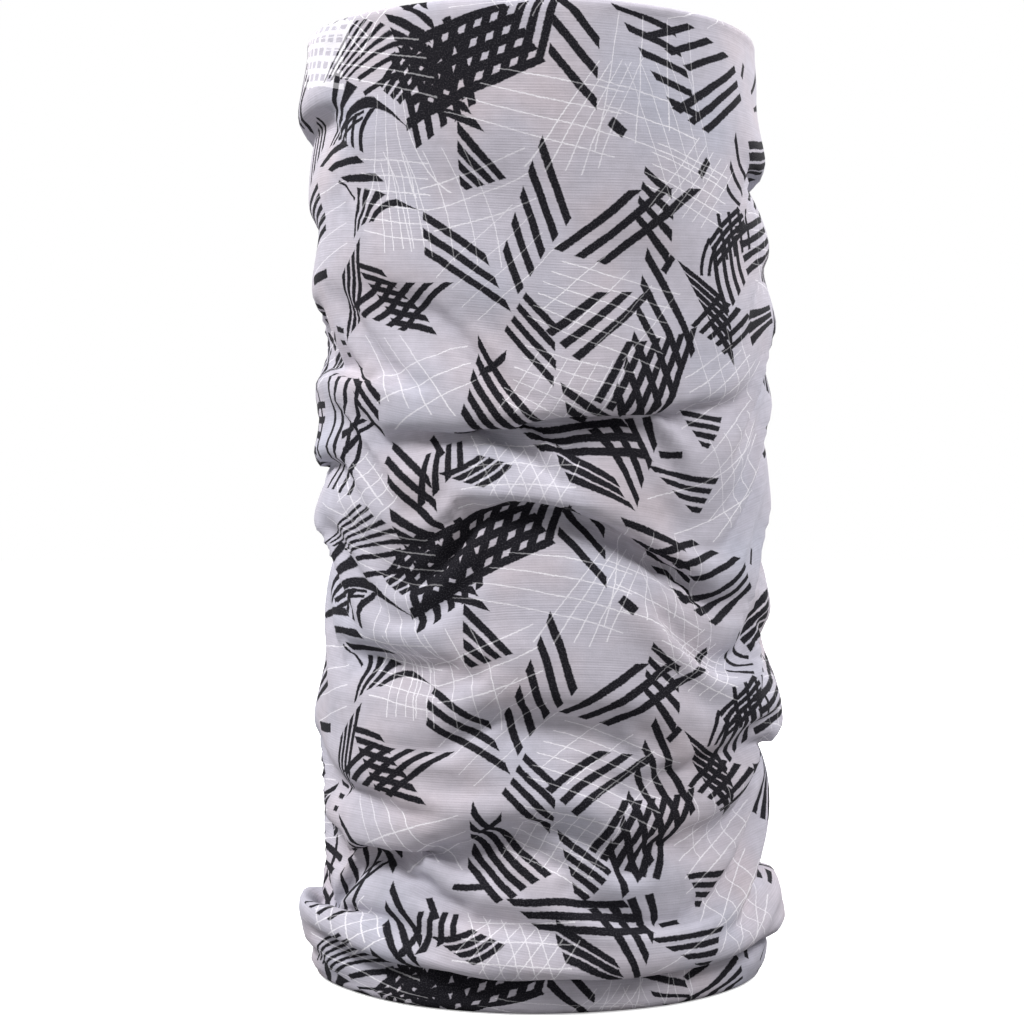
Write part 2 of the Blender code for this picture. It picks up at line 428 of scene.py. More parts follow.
def doubled(points):
    """The grid with a row and a column put between every two, on a smooth curve through them."""
    before, after, last = (np.roll(points, step, axis=1) for step in (1, -1, -2))
    added = between(before, points, after, last)
    wide = np.stack([points, added], axis=2).reshape(points.shape[0], -1, 3)
    padded = np.concatenate([2 * wide[:1] - wide[1:2], wide, 2 * wide[-1:] - wide[-2:-1]])
    tall = np.empty((wide.shape[0] * 2 - 1,) + wide.shape[1:])
    tall[0::2] = wide
    tall[1::2] = between(padded[:-3], padded[1:-2], padded[2:-1], padded[3:])
    return tall


def tube_faces(rows, columns):
    """The four (row, column) corners of each face of a tube."""
    for row in range(rows - 1):
        for column in range(columns):
            following = (column + 1) % columns
            yield (row, column), (row, following), (row + 1, following), (row + 1, column)


def new_piece(name, points, faces):
    """A smooth object of the given points in metres and faces."""
    mesh = bpy.data.meshes.new(name)
    mesh.from_pydata(points.tolist(), [], faces)
    mesh.shade_smooth()
    made = bpy.data.objects.new(name, mesh)
    bpy.context.scene.collection.objects.link(made)
    return made


def cloth_tube(name, grid):
    """A tube through the grid, with the flat cloth's (around, along) in m as the UV map "flat"."""
    rows, columns = grid.shape[:2]
    faces = []
    places = []
    for corners in tube_faces(rows, columns):
        faces.append([up * columns + over for up, over in corners])
        for up, over in corners:
            past_seam = AROUND if over < corners[0][1] else 0
            places.append((grid[up, over, 3] + past_seam, grid[up, over, 4]))
    made = new_piece(name, grid[..., :3].reshape(-1, 3) * MM, faces)
    layer = made.data.uv_layers.new(name="flat")
    layer.data.foreach_set("uv", (np.array(places, np.float32) * MM).ravel())
    made.data.validate()
    return made


# ------------------------------------------------------------------
# The print: brush strokes and thin lines on the flat cloth
# ------------------------------------------------------------------
# Rows of strokes on the flat cloth, in mm: the first stroke's two ends, the last stroke's two ends, how
# many strokes, their width, and how far each is bowed. Ends are (around, down from the top rim).
STROKES = (
    # top band: long strokes, the steep ones that cross them, and those that close up its dark middle
    ((-40, 12), (-8, 2.5), (-42, 36), (4, 17), 5, 3.3, 0),
    ((-38, 36), (-30, 10), (1, 20), (8, -3), 8, 3.0, 0),
    ((-48, 14), (-38, 44), (-27, 6), (-20, 33), 5, 3.0, 1.5),
    ((-50, 3), (-34, 11), (-36, 31), (-18, 38), 6, 2.9, 0),
    ((8, -2), (21, 13), (5, 15), (20, 31), 3, 2.9, 0),
    # fans at the left of the band
    ((-80, 18), (-62, 0), (-68, 19), (-44, 8), 6, 1.5, 0.6),
    ((-62, 20.5), (-44, 14.5), (-59, 25.5), (-45, 21), 2, 2.1, 0.4),
    ((-52, 24), (-38, 8), (-46, 30), (-30, 16), 4, 2.6, 0),
    ((-86, 42), (-71, 19), (-79, 39), (-57, 24), 3, 2.6, 0.6),
    ((-79, 40), (-60, 31), (-77, 42), (-60, 33), 2, 1.6, 1),
    ((-79, 54), (-70, 60), (-79, 54), (-70, 60), 1, 1.3, 1),
    ((-71, 41), (-68, 32), (-62, 44), (-56, 29), 3, 2.3, 1.5),
    # bars under the fans, and the curved stack below them
    ((-93, 46), (-70, 41), (-74, 53.5), (-54, 51), 3, 2.7, 0.6),
    ((-70, 71), (-67, 55), (-61, 66), (-51, 57.5), 4, 2.3, 0.5),
    # chevrons at the right of the band
    ((26, 0.5), (50, 7), (45, 28), (58, 31.5), 5, 2.5, 0),
    ((39, 9.5), (57, 4), (54, 17.5), (75, 10.5), 3, 2.6, 0),
    ((48, 31), (81, 14), (61, 36), (85, 22), 3, 2.8, 0),
    ((86, 16), (89, 11), (86, 16), (89, 11), 1, 2.2, 0),
    ((24, 35), (29, 39), (24, 35), (29, 39), 1, 3.6, 0),
    ((57, 50), (62, 45), (57, 50), (62, 45), 1, 3.2, 0),
    # small triangle below the band
    ((-25, 38), (-11, 53.5), (-25.5, 54), (-22, 57), 4, 2.7, 0),
    # steep row at the centre and the rows on both sides of it
    ((1, 41), (9, 65), (-12, 73), (-7, 87), 5, 2.9, 0),
    ((-38, 65.5), (-16.5, 78.5), (-38.5, 76), (-11, 92), 3, 2.7, 0),
    ((-6, 88), (4, 98), (-12, 99), (3, 115), 4, 2.5, 0),
    ((1, 100), (19, 86.5), (9.5, 107), (35, 86), 3, 2.8, 0),
    ((6, 73.5), (32, 54.5), (19, 77), (55, 53.5), 3, 2.9, 0),
    ((35, 49), (45, 56), (31, 62), (43.5, 75.5), 4, 2.7, 0),
    ((40.5, 80), (44.5, 75), (40.5, 80), (44.5, 75), 1, 2.6, 0),
    # lattice to the right of the centre
    ((37.5, 74), (50, 107), (21, 117), (28, 134), 6, 2.9, 0.6),
    ((16, 121), (27, 102), (37, 129), (51, 98), 6, 2.7, 0),
    ((5, 116.5), (22, 127), (9.5, 133), (15, 136), 4, 2.7, 0),
    # hatch at the left
    ((-70, 81), (-55, 83.5), (-58, 99.5), (-38.5, 103), 6, 2.4, 0),
    ((-75, 97), (-58, 86), (-53, 103), (-30, 86), 5, 2.5, 0),
    ((-80, 107), (-78, 84), (-72, 97), (-68, 73), 4, 2.0, 0),
    ((-103, 85.5), (-88, 83.5), (-103, 85.5), (-88, 83.5), 1, 3.4, 0),
    ((-88, 102.5), (-82, 103.5), (-87, 112), (-83, 112), 3, 2.1, 0),
    # dense cluster at the right edge of the front
    ((60, 71), (80, 60), (63, 78), (86, 66), 4, 2.2, 1.2),
    ((76, 67), (104, 65), (84, 81), (110, 76), 4, 2.6, 0),
    ((63, 72), (67, 93), (76, 68), (81, 84), 4, 2.7, -1),
    ((66, 61), (70, 76), (85, 60), (87, 74), 4, 2.2, 0),
    ((47, 77), (66, 88), (58, 95), (72, 107), 5, 2.4, 0),
    ((50, 97), (63, 87), (64, 105), (86, 97), 5, 2.4, 0),
    ((82, 96), (108, 97), (84, 104), (108, 101), 3, 2.6, 0),
    ((56, 81), (61, 69), (60, 81), (65, 70), 2, 1.9, 1),
    ((76, 36), (88, 52), (72, 51), (81, 59), 3, 2.1, -1.6),
    ((86, 38.5), (112, 33.5), (90, 49), (112, 44), 4, 3.0, 0),
    ((97, 19), (110, 11), (99, 24), (110, 21.5), 2, 2.2, 0),
    # group below the centre
    ((-24, 104), (2, 131), (-25, 126), (-12, 140), 5, 2.8, -1.4),
    ((-21, 114.5), (-11, 109.5), (-27, 139.5), (-17, 135), 2, 2.5, -0.5),
    # level strokes, the steep ones that cross them and the stack below
    ((-11, 139.5), (27, 136.5), (-2, 146.5), (36, 146), 3, 2.9, 0),
    ((4, 146), (23.5, 156.5), (7, 155.5), (29, 163.5), 3, 2.6, 0),
    ((17, 139), (33, 162.5), (34, 133), (38, 144), 4, 2.9, 0.5),
    # triangular stacks at the right
    ((50, 129), (68, 130.5), (55.5, 139), (59.5, 140), 4, 2.3, 0),
    ((40, 145), (48, 143.8), (40, 145), (48, 143.8), 1, 2.7, 0),
    ((36, 150.3), (64, 151), (52, 160.5), (58, 161), 4, 2.2, 0),
    # group at the lower left
    ((-53.5, 146), (-36, 161), (-53, 158.5), (-31, 176), 3, 2.6, 0),
    ((-39, 168), (-38.5, 150.5), (-26, 156), (-28, 147), 4, 2.5, 0),
    ((-33, 160), (-21, 152), (-21, 162), (-11, 156), 4, 2.3, -1),
    ((-39, 145), (-33, 152), (-39, 145), (-33, 152), 1, 2.5, 0),
    # long upright strokes at the left edge and the rows that join them
    ((-80, 115), (-56, 129), (-68, 131), (-55, 140), 3, 2.5, 0),
    ((-86, 168), (-88, 123), (-70, 166), (-67, 124), 4, 2.4, 0),
    ((-78, 146), (-64, 138), (-76, 151), (-59, 137), 2, 2.2, 0),
    # both sides of the repeat's edge
    ((-117, 62), (-96, 54), (-112, 78), (-90, 68), 5, 2.6, 0),
    ((94, 58), (120, 47), (104, 64), (126, 58), 3, 2.8, 0),
    ((108, 88), (116, 58), (120, 90), (123, 66), 4, 2.7, 0.5),
    ((97, 120), (113, 98), (118, 133), (123, 110), 6, 2.7, 0),
    ((101, 141), (126, 132), (106, 151), (120, 150), 4, 2.5, 0),
    ((-124, 14), (-106, 0), (-117, 31), (-96, 14), 5, 2.7, 0),
    ((-112, 34), (-106, 52), (-100, 28), (-96, 42), 4, 2.5, 0.5),
    ((-123, 90), (-104, 104), (-126, 103), (-108, 113), 4, 2.7, 0),
    ((-117, 121), (-92, 105), (-112, 128), (-98, 119), 4, 2.5, 0),
    ((-122, 132), (-98, 134), (-116, 152), (-104, 155), 5, 2.7, 0),
    ((-108, 128), (-98, 152), (-122, 140), (-116, 160), 3, 2.7, 0),
)

# Thin white lines, listed in the same way
LINES = (
    # left of the centre
    ((-40, 57), (-4, 44), (-34, 70), (0, 58), 3, 0.55, -1),
    ((-52, 44), (-44, 76), (-24, 44), (-12, 80), 5, 0.5, 1.5),
    ((-64, 46), (-36, 49), (-64, 70), (-36, 73), 6, 0.5, 0),
    ((-57, 48), (-54, 76), (-44, 48), (-38, 76), 5, 0.5, 0.5),
    # above the centre, and down from the chevrons
    ((-10, 21), (30, 27), (-30, 33), (24, 46), 4, 0.5, 0),
    ((-2, 50), (22, 18), (20, 50), (36, 16), 5, 0.5, 0.8),
    ((29, 2), (20, 44), (56, 4), (57, 34), 4, 0.5, 0),
    ((20, 23), (46, 28), (24, 38), (66, 50), 3, 0.5, 0),
    ((40, 41), (72, 50), (34, 53), (68, 66), 5, 0.5, 0),
    ((36, 60), (58, 38), (56, 66), (76, 48), 6, 0.45, 0),
    ((30, 18), (44, 58), (52, 14), (64, 50), 5, 0.4, 0.6),
    ((-34, 84), (-8, 60), (-22, 98), (6, 72), 4, 0.4, 0),
    # centre and below it
    ((6, 77), (46, 87), (-6, 94), (36, 110), 6, 0.5, 0),
    ((0, 92), (22, 74), (24, 108), (44, 88), 4, 0.45, 0),
    ((-6, 104), (28, 112), (-14, 122), (14, 134), 6, 0.5, 0),
    ((-14, 126), (-2, 106), (14, 130), (26, 108), 7, 0.45, 0),
    ((-24, 149), (10, 144), (-26, 170), (10, 166), 4, 0.55, 0),
    ((-24, 160), (-16, 146), (0, 174), (12, 150), 7, 0.5, 0),
    ((-24, 146), (-10, 172), (-2, 146), (8, 168), 5, 0.5, 0),
    # right side
    ((46, 114), (70, 104), (50, 134), (94, 112), 5, 0.55, 0.5),
    ((50, 98), (58, 124), (74, 98), (84, 124), 4, 0.5, 0.6),
    ((56, 146), (84, 124), (64, 172), (98, 146), 5, 0.5, 0.8),
    ((60, 138), (74, 168), (80, 128), (92, 160), 4, 0.5, 0),
    ((34, 161), (92, 138), (48, 170), (100, 152), 2, 0.55, 0),
    # lower left
    ((-72, 106), (-52, 130), (-54, 104), (-28, 130), 4, 0.55, 0),
    ((-62, 122), (-26, 107), (-50, 138), (-22, 117), 3, 0.55, 1),
    ((-66, 152), (-50, 164), (-80, 164), (-60, 180), 5, 0.6, 0),
    ((-78, 166), (-64, 150), (-62, 182), (-48, 164), 5, 0.6, 0),
    # over the fans
    ((-84, 4), (-36, 11), (-72, 18), (-32, 28), 4, 0.55, 0),
    ((-52, 26), (-57, 60), (-46, 26), (-34, 58), 4, 0.5, -1),
    # both sides of the repeat's edge
    ((-108, 60), (-76, 54), (-104, 84), (-74, 74), 4, 0.5, 0),
    ((90, 56), (122, 60), (88, 84), (120, 92), 6, 0.5, 0),
    ((92, 90), (100, 54), (116, 92), (124, 58), 5, 0.5, 0.6),
    ((-124, 104), (-96, 98), (-120, 132), (-92, 124), 6, 0.5, 0.5),
)

# Broad white grid at the upper left, which is printed near the top rim only
TOP_GRID = (
    ((-104, -6), (-66, 1), (-106, 14), (-70, 22), 6, 2.0, 0),
    ((-104, 16), (-96, -6), (-76, 21), (-66, 0), 7, 1.9, 0),
)

# Colours of the print, linear
GROUND = (0.50, 0.475, 0.54)
GROUND_WARM = (0.54, 0.485, 0.53)
GROUND_COOL = (0.46, 0.46, 0.54)
INK = (0.007, 0.0065, 0.010)
WHITE_LINE = (0.86, 0.84, 0.88)
REVERSE = (0.66, 0.65, 0.68)

# Width in mm over which the edge of a stroke and of a thin line fades
STROKE_EDGE = 0.3
LINE_EDGE = 0.16

# Share of half its length by which a stroke may be shifted along itself, and the numbers that vary it
ENDS_VARY = 0.05
VARIED = (7.31, 5.17, 9.73)

# The broad grid fades in over these flat mm below the top rim
GRID_FROM = 44
GRID_FULL = 40


class Nodes:
    """Short calls for building a node tree."""

    def __init__(self, tree):
        self.tree = tree

    def add(self, kind, **settings):
        node = self.tree.nodes.new(kind)
        for key, value in settings.items():
            setattr(node, key, value)
        return node

    def feed(self, socket, value):
        if isinstance(value, bpy.types.NodeSocket):
            self.tree.links.new(value, socket)
        elif value is not None:
            socket.default_value = value

    def vector(self, operation, a, b=None, c=None):
        node = self.add("ShaderNodeVectorMath", operation=operation)
        for socket, value in zip(node.inputs, (a, b, c)):
            self.feed(socket, value)
        return node.outputs[0]

    def scaled(self, vector, share):
        node = self.add("ShaderNodeVectorMath", operation="SCALE")
        self.feed(node.inputs[0], vector)
        self.feed(node.inputs["Scale"], share)
        return node.outputs[0]

    def split(self, vector):
        node = self.add("ShaderNodeSeparateXYZ")
        self.feed(node.inputs[0], vector)
        return node.outputs

    def number(self, operation, a, b=None, c=None, clamp=False):
        node = self.add("ShaderNodeMath", operation=operation, use_clamp=clamp)
        for socket, value in zip(node.inputs, (a, b, c)):
            self.feed(socket, value)
        return node.outputs[0]

    def mix(self, share, a, b):
        node = self.add("ShaderNodeMix", data_type="RGBA")
        self.feed(node.inputs[0], share)
        for socket, value in ((node.inputs[6], a), (node.inputs[7], b)):
            self.feed(socket, value if isinstance(value, bpy.types.NodeSocket) else (*value, 1))
        return node.outputs[2]

    def noise(self, vector, scale, detail=2.0, roughness=0.5):
        """A noise node: outputs[0] is its value."""
        node = self.add("ShaderNodeTexNoise")
        self.feed(node.inputs["Vector"], vector)
        node.inputs["Scale"].default_value = scale
        node.inputs["Detail"].default_value = detail
        node.inputs["Roughness"].default_value = roughness
        return node

    def ramp(self, value, low, high, to_low=0.0, to_high=1.0):
        node = self.add("ShaderNodeMapRange")
        for socket, given in zip(node.inputs, (value, low, high, to_low, to_high)):
            self.feed(socket, given)
        return node.outputs[0]

    def bump(self, shader, height, strength, distance):
        node = self.add("ShaderNodeBump")
        node.inputs["Strength"].default_value = strength
        node.inputs["Distance"].default_value = distance
        self.feed(node.inputs["Height"], height)
        self.feed(shader.inputs["Normal"], node.outputs[0])


def row_terms(row):
    """The numbers that place one row of strokes: see three_rows. Heights point up here."""
    first, last = np.array(row[:4], float).reshape(2, 2, 2) * (1, -1)
    count, width, bow = row[4:]
    runs = [first[1] - first[0], last[1] - last[0]]
    lengths = [np.hypot(*run) for run in runs]
    heading = runs[0] / lengths[0] + runs[1] / lengths[1]
    turn = math.atan2(heading[1], heading[0])
    ahead = np.array([math.cos(turn), math.sin(turn)])
    left = np.array([-ahead[1], ahead[0]])
    step = (last.mean(axis=0) - first.mean(axis=0)) / max(count - 1, 1)
    if step @ left < 0:
        step = -step
        runs.reverse()
        lengths.reverse()
    alone = 10  # the gap of a single stroke only has to be wider than the stroke
    gap = max(step @ left, 0.01) if count > 1 else alone
    spread = max((count - 1) * gap, 1)
    lean = [math.atan2(run @ left, run @ ahead) for run in runs]
    return {
        "centre": (first.mean(axis=0) + last.mean(axis=0)) / 2,
        "turn": turn,
        "gap": gap,
        "slip": step @ ahead / gap,
        "last": count - 1,
        "length": sum(lengths) / 2,
        "taper": (lengths[1] - lengths[0]) / spread,
        "fan": (lean[1] - lean[0]) / spread,
        "width": width,
        "bow": bow,
    }


def three_rows(nodes, around, along, rows, soft):
    """Ink of three rows of strokes at once, one in each channel: 0 at an edge and 1 soft mm inside it.
    A row is a stack of parallel strips, cut off on both sides along the row's own direction."""
    rows = [row_terms(row) for row in rows]
    rows += [rows[-1]] * (3 - len(rows))
    term = {key: np.array([row[key] for row in rows]) for key in rows[0]}
    cos, sin = np.cos(term["turn"]), np.sin(term["turn"])
    gap, bow = term["gap"], term["bow"]
    half, middle = term["length"] / 2, term["last"] / 2

    # the place in each row's own frame: ahead along its strokes and left across them
    period = ((REPEAT_AROUND / 2,) * 3, (-REPEAT_AROUND / 2,) * 3)
    right = nodes.vector("SUBTRACT", around, tuple(term["centre"][:, 0]))
    right = nodes.vector("WRAP", right, *period)
    period = ((REPEAT_ALONG / 2,) * 3, (-REPEAT_ALONG / 2,) * 3)
    up = nodes.vector("SUBTRACT", along, tuple(term["centre"][:, 1] + OUTSIDE))
    up = nodes.vector("WRAP", up, *period)
    ahead = nodes.vector("MULTIPLY", up, tuple(sin))
    ahead = nodes.vector("MULTIPLY_ADD", right, tuple(cos), ahead)
    left = nodes.vector("MULTIPLY", right, tuple(-sin))
    left = nodes.vector("MULTIPLY_ADD", up, tuple(cos), left)

    # strokes bowed and fanned out, then the nearest one and the ink across it
    square = nodes.vector("MULTIPLY", ahead, ahead)
    left = nodes.vector("MULTIPLY_ADD", square, tuple(bow / half**2), left)
    spread = nodes.vector("MULTIPLY_ADD", ahead, tuple(-term["fan"]), (1.0,) * 3)
    left = nodes.vector("MULTIPLY", left, spread)
    place = nodes.vector("MULTIPLY_ADD", left, tuple(1 / gap), tuple(middle - bow / gap))
    index = nodes.vector("ADD", place, (0.5,) * 3)
    index = nodes.vector("FLOOR", index)
    index = nodes.vector("MAXIMUM", index, (0.0,) * 3)
    index = nodes.vector("MINIMUM", index, tuple(term["last"]))
    off = nodes.vector("SUBTRACT", place, index)
    off = nodes.vector("ABSOLUTE", off)
    strip = nodes.vector("MULTIPLY_ADD", off, tuple(-gap / soft), tuple(term["width"] / 2 / soft))

    # ink towards the ends
    chance = nodes.vector("MULTIPLY_ADD", index, VARIED, tuple(term["turn"] * 5))
    chance = nodes.vector("SINE", chance)
    ahead = nodes.vector("MULTIPLY_ADD", left, tuple(-term["slip"]), ahead)
    ahead = nodes.vector("MULTIPLY_ADD", chance, tuple(ENDS_VARY * half), ahead)
    ahead = nodes.vector("ABSOLUTE", ahead)
    ends = nodes.vector("MULTIPLY_ADD", left, tuple(term["taper"] / 2 / soft), tuple(half / soft))
    ends = nodes.vector("MULTIPLY_ADD", ahead, (-1 / soft,) * 3, ends)
    return nodes.vector("MINIMUM", strip, ends)


def print_mask(nodes, around, along, rows, soft):
    """Where any of the listed strokes lies, 0 to 1."""
    found = None
    for start in range(0, len(rows), 3):
        ink = three_rows(nodes, around, along, rows[start:start + 3], soft)
        found = ink if found is None else nodes.vector("MAXIMUM", found, ink)
    first, second, third = nodes.split(found)
    two = nodes.number("MAXIMUM", first, second)
    return nodes.number("MAXIMUM", two, third, clamp=True)


def new_material(name):
    made = bpy.data.materials.new(name)
    made.use_nodes = True
    shader = made.node_tree.nodes["Principled BSDF"]
    return made, Nodes(made.node_tree), shader


def strayed(nodes, place, flat, reach, *noise):
    """The place moved round and along by noise on the flat cloth, by up to half of reach in mm."""
    stray = nodes.noise(flat, *noise)
    moved = nodes.vector("SUBTRACT", stray.outputs["Color"], (0.5, 0.5, 0.5))
    return nodes.vector("MULTIPLY_ADD", moved, (reach, reach, 0), place)


def flat_place(nodes):
    """The flat cloth's mm around and along, each repeated in three channels and strayed as a brush
    strays, and the mm as one plain vector."""
    uv = nodes.add("ShaderNodeUVMap", uv_map="flat")
    flat = nodes.scaled(uv.outputs[0], 1 / MM)
    drawn = strayed(nodes, flat, flat, 1.6, 0.06, 1.0)
    drawn = strayed(nodes, drawn, flat, 0.75, 1.2, 2.0, 0.65)
    out = []
    for channel in nodes.split(drawn)[:2]:
        both = nodes.add("ShaderNodeCombineXYZ")
        for socket in both.inputs:
            nodes.feed(socket, channel)
        out.append(both.outputs[0])
    return out[0], out[1], flat


def knit(nodes, flat):
    """Jersey's fine courses round the tube and its slight unevenness: a height for bump, and a shade."""
    course = nodes.vector("MULTIPLY", flat, (0.045, 1.5, 1))
    course = nodes.noise(course, 1.0, 3.0, 0.6).outputs[0]
    wales = nodes.vector("MULTIPLY", flat, (2.2, 0.5, 1))
    wales = nodes.noise(wales, 1.0, 1.0).outputs[0]
    phase = nodes.number("MULTIPLY", nodes.split(flat)[1], math.tau / COURSE)
    phase = nodes.number("MULTIPLY_ADD", wales, 1.6, phase)
    rib = nodes.number("SINE", phase)
    height = nodes.number("MULTIPLY_ADD", wales, 0.5, course)
    height = nodes.number("MULTIPLY_ADD", rib, 0.12, height)
    streak = nodes.ramp(course, 0.3, 0.7, 0.92, 1.06)
    streak = nodes.number("MULTIPLY", streak, nodes.ramp(rib, -1, 1, 0.955, 1.03))
    return height, streak


def cloth_material(name, printed):
    """Printed microfibre jersey, or its paler reverse where the print only shows through."""
    made, nodes, shader = new_material(name)
    around, along, flat = flat_place(nodes)
    ink = print_mask(nodes, around, along, STROKES, STROKE_EDGE)
    lines = print_mask(nodes, around, along, LINES, LINE_EDGE)
    grid = print_mask(nodes, around, along, TOP_GRID, LINE_EDGE)
    near_top = nodes.ramp(nodes.split(flat)[1], OUTSIDE - GRID_FROM, OUTSIDE - GRID_FULL)
    lines = nodes.number("MAXIMUM", lines, nodes.number("MULTIPLY", grid, near_top))

    # the ground: broad warm and cool clouds, shaded by the knit, a fine grain and a coarser mottle
    blot = nodes.noise(flat, 0.028, 2.0).outputs[0]
    cloud = nodes.noise(flat, 0.017, 2.0).outputs[0]
    ground = nodes.mix(nodes.ramp(blot, 0.42, 0.66), GROUND, GROUND_WARM)
    ground = nodes.mix(nodes.ramp(cloud, 0.45, 0.7), ground, GROUND_COOL)
    height, streak = knit(nodes, flat)
    grain = nodes.noise(flat, 2.4, 2.0, 0.7).outputs[0]
    mottle = nodes.noise(flat, 0.22, 3.0, 0.6).outputs[0]
    streak = nodes.number("MULTIPLY", streak, nodes.ramp(grain, 0.3, 0.7, 0.94, 1.05))
    streak = nodes.number("MULTIPLY", streak, nodes.ramp(mottle, 0.3, 0.7, 0.92, 1.04))
    ground = nodes.scaled(ground, streak)

    # ink worn through in the grain, and white lines that fade in places and weaken over the ink
    worn = nodes.ramp(grain, 0.5, 0.8, 1.0, 0.86)
    colour = nodes.mix(nodes.number("MULTIPLY", ink, worn), ground, INK)
    faded = nodes.ramp(blot, 0.35, 0.6, 0.45, 0.8)
    white = nodes.number("MULTIPLY", lines, faded)
    white = nodes.number("MULTIPLY", white, nodes.ramp(ink, 0, 1, 1, 0.4))
    colour = nodes.mix(white, colour, WHITE_LINE)
    if not printed:
        shows_through = 0.2
        colour = nodes.mix(shows_through, REVERSE, colour)
    nodes.feed(shader.inputs["Base Color"], colour)
    nodes.feed(shader.inputs["Roughness"], nodes.ramp(height, 0.4, 1.1, 0.78, 0.92))
    shader.inputs["Specular IOR Level"].default_value = 0.1
    shader.inputs["Sheen Weight"].default_value = 0.02
    shader.inputs["Sheen Roughness"].default_value = 0.4
    nodes.bump(shader, height, 0.35, 0.0002)
    return made


def thicken(piece, thickness):
    """Gives a sheet its thickness in mm, half of it on each side."""
    solid = piece.modifiers.new("thickness", "SOLIDIFY")
    solid.thickness = thickness * MM
    solid.offset = 0
    return solid


# ------------------------------------------------------------------
# Overlock threads, care label and its stitches
# ------------------------------------------------------------------
def on_strip(strip, turn, depth):
    """Points in mm on a turned-in strip, at turns of 0 to 1 round it and depths from its raw edge."""
    rows, columns = strip.shape[:2]
    walked = np.abs(strip[:, 0, 4] - strip[0, 0, 4])
    row = np.interp(depth, walked, np.arange(rows))
    column = turn * columns
    low, left = np.floor(row).astype(int), np.floor(column).astype(int)
    high = np.minimum(low + 1, rows - 1)
    up, across = (row - low)[:, None], (column - left)[:, None]
    here, following = left % columns, (left + 1) % columns
    first = strip[low, here, :3] * (1 - across) + strip[low, following, :3] * across
    second = strip[high, here, :3] * (1 - across) + strip[high, following, :3] * across
    return first * (1 - up) + second * up


def stitched(strip, stitch):
    """A closed thread path in mm: stitch lists (share of a stitch, depth from the edge, lift off the
    cloth); a lift above 0 is on the side that faces the axis."""
    shares, depths, lifts = np.array(stitch, float).T
    turn = ((np.arange(STITCHES)[:, None] + shares) / STITCHES).ravel()
    depth, lift = np.tile(depths, STITCHES), np.tile(lifts, STITCHES)
    base = on_strip(strip, turn % 1, np.maximum(depth, 0))
    inward = on_strip(strip, turn % 1, np.maximum(depth, 0) + 1) - base
    past = np.minimum(depth, 0)[:, None]
    centre = np.stack([eased(base[:, 2], LEAN), 0 * turn, base[:, 2]], axis=-1)
    outward = (base - centre) / np.linalg.norm(base - centre, axis=1)[:, None]
    return base + inward * past - outward * lift[:, None]


def new_thread(name, path, closed=True):
    """A round thread along a path in mm."""
    sides = 6
    ahead = np.roll(path, -1, axis=0) - np.roll(path, 1, axis=0)
    if not closed:
        ahead[0], ahead[-1] = path[1] - path[0], path[-1] - path[-2]
    ahead /= np.linalg.norm(ahead, axis=1)[:, None]
    side = np.cross(ahead, (0, 0, 1))
    side /= np.maximum(np.linalg.norm(side, axis=1), 1e-6)[:, None]
    other = np.cross(ahead, side)
    turn = (np.arange(sides) / sides * math.tau)[None, :, None]
    ring = np.cos(turn) * side[:, None] + np.sin(turn) * other[:, None]
    points = (path[:, None] + THREAD * ring).reshape(-1, 3) * MM
    faces = []
    for i in range(len(path) - (0 if closed else 1)):
        here, there = i * sides, (i + 1) % len(path) * sides
        for k in range(sides):
            following = (k + 1) % sides
            faces.append((here + k, there + k, there + following, here + following))
    if not closed:
        faces.append(tuple(range(sides)))
        faces.append(tuple(range(len(points) - 1, len(points) - 1 - sides, -1)))
    return new_piece(name, points, faces)


def thread_material():
    """Matt dark polyester thread with a faint twist."""
    made, nodes, shader = new_material("dark_polyester_thread")
    place = nodes.add("ShaderNodeTexCoord").outputs["Object"]
    twist = nodes.noise(place, 2600, 2.0).outputs[0]
    dark, light = (0.012, 0.012, 0.014), (0.035, 0.034, 0.038)
    colour = nodes.mix(nodes.ramp(twist, 0.35, 0.7), dark, light)
    nodes.feed(shader.inputs["Base Color"], colour)
    shader.inputs["Roughness"].default_value = 0.55
    shader.inputs["Sheen Weight"].default_value = 0.2
    nodes.bump(shader, twist, 0.4, 0.0001)
    return made


def overlock(end, strip, material):
    """The three threads over a strip's raw edge, each standing for its own CAD thread."""
    lift = CLOTH / 2 + THREAD
    needle = ((0, SEAM, -0.1), (0.15, SEAM, lift), (0.85, SEAM, lift), (0.97, SEAM, -0.1))
    upper = (
        (0.0, -0.35, 0.1), (0.12, 0.3, lift), (0.3, 1.6, lift), (0.5, SEAM - 0.3, lift),
        (0.6, SEAM - 0.5, lift + 0.1), (0.8, 1.8, lift), (0.92, 0.4, lift),
    )
    lower = (
        (0.0, SEAM - 0.4, -lift), (0.2, 1.8, -lift), (0.38, 0.4, -lift), (0.5, -0.3, -0.05),
        (0.62, 0.4, -lift), (0.8, 1.8, -lift),
    )
    for name, stitch in (("needle", needle), ("upper_looper", upper), ("lower_looper", lower)):
        made = new_thread(end + "_" + name, stitched(strip, stitch))
        made.data.materials.append(material)
        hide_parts(end + "_" + name + "_thread")
        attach(made, end)


